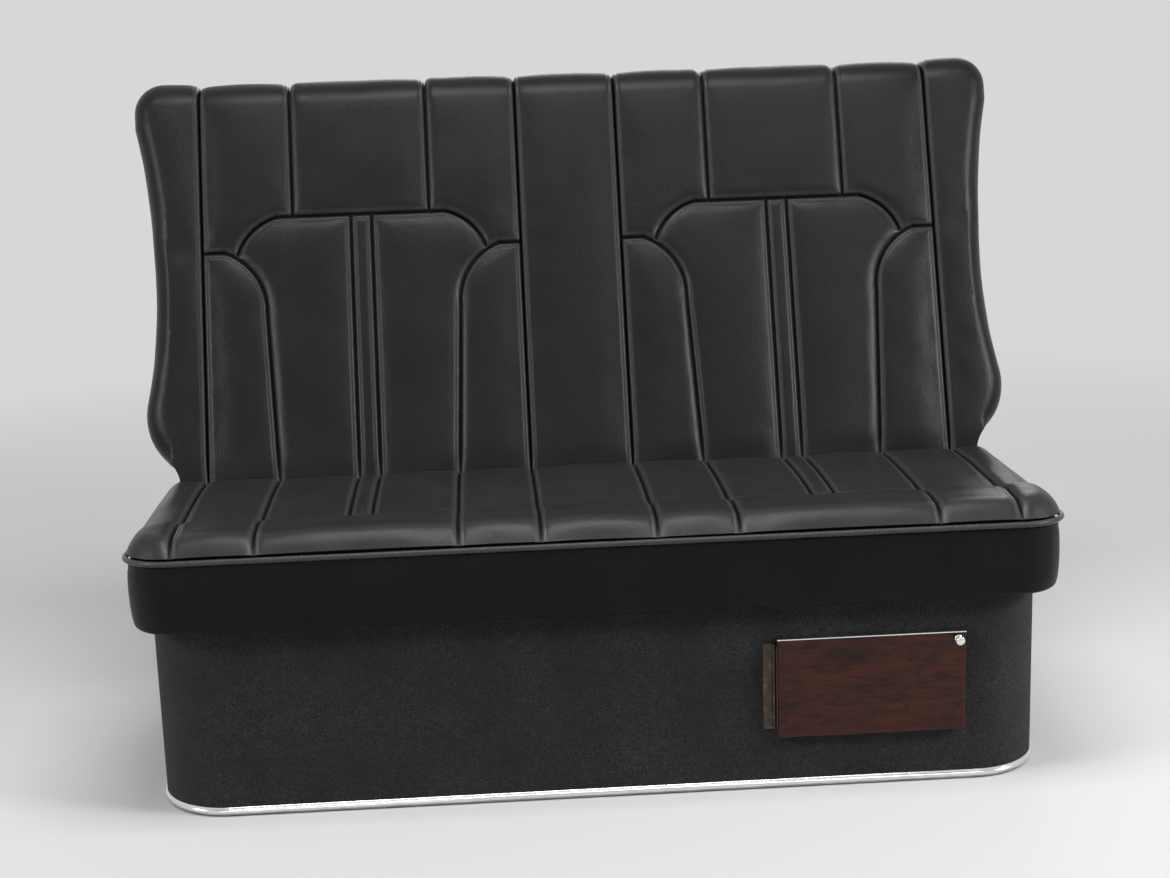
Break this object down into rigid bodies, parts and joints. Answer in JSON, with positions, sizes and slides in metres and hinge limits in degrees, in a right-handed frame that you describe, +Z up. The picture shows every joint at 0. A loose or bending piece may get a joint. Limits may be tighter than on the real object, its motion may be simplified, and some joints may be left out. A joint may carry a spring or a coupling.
{
  "type": "limousine rear bench seat",
  "caption": "Leather rear bench seat for a stretch limousine: sewn reclined back, padded cushion with a welted front band, and a carpeted plinth that holds a small hinged storage locker.",
  "frame": {"origin": "on the floor, at the centre of the four floor bolts", "axes": "+X to the right of a person who faces the seat, +Y to the back of the seat, +Z up"},
  "size_m": [1.42, 0.8188, 1.0097],
  "materials": {
    "black_leather": "soft black automotive leather, fine grain, satin, sewn",
    "birch_plywood": "bare birch plywood, sanded",
    "zinc_steel": "zinc plated",
    "dark_bronze": "dark bronze plated, satin",
    "charcoal_carpet": "short cut pile",
    "bright_trim": "polished",
    "dark_veneer": "dark red-brown veneer under gloss lacquer",
    "catch_plastic": "moulded"
  },
  "bodies": {
    "bench": {"back_board": "birch_plywood", "back_pad_centre": "black_leather", "back_pad_left": "black_leather", "back_pad_right": "black_leather", "back_strap_centre": "zinc_steel", "back_strap_left": "zinc_steel", "back_strap_right": "zinc_steel", "back_turnover": "black_leather", "base_bead": "bright_trim", "bolster_left": "black_leather", "bolster_right": "black_leather", "catch_magnet": "catch_plastic", "cushion_board": "birch_plywood", "cushion_welt": "black_leather", "floor_bracket_front_left": "zinc_steel", "floor_bracket_front_right": "zinc_steel", "floor_bracket_rear_left": "zinc_steel", "floor_bracket_rear_right": "zinc_steel", "hinge_leaf_fixed": "dark_bronze", "hinge_pin": "dark_bronze", "locker_back": "birch_plywood", "locker_floor": "birch_plywood", "locker_left": "birch_plywood", "locker_right": "birch_plywood", "locker_top": "birch_plywood", "plinth_back": "birch_plywood", "plinth_carpet": "charcoal_carpet", "plinth_corner_left": "birch_plywood", "plinth_corner_right": "birch_plywood", "plinth_front": "birch_plywood", "plinth_rib_left": "birch_plywood", "plinth_rib_right": "birch_plywood", "plinth_side_left": "birch_plywood", "plinth_side_right": "birch_plywood", "seat_cushion": "black_leather", "seat_deck": "birch_plywood", "seat_fascia": "black_leather", "wall_hanger_left": "zinc_steel", "wall_hanger_right": "zinc_steel"},
    "locker_door": {"door_panel": "dark_veneer", "door_edge_trim": "bright_trim", "door_knob": "bright_trim", "hinge_leaf_door": "dark_bronze", "catch_plate": "zinc_steel"}
  },
  "joints": [
    {"name": "locker_door_hinge", "type": "hinge", "parent": "bench", "child": "locker_door", "pos_m": [0.25, -0.25865, 0.161], "axis": [0, 0, -1], "range_deg": [0, 90]}
  ]
}
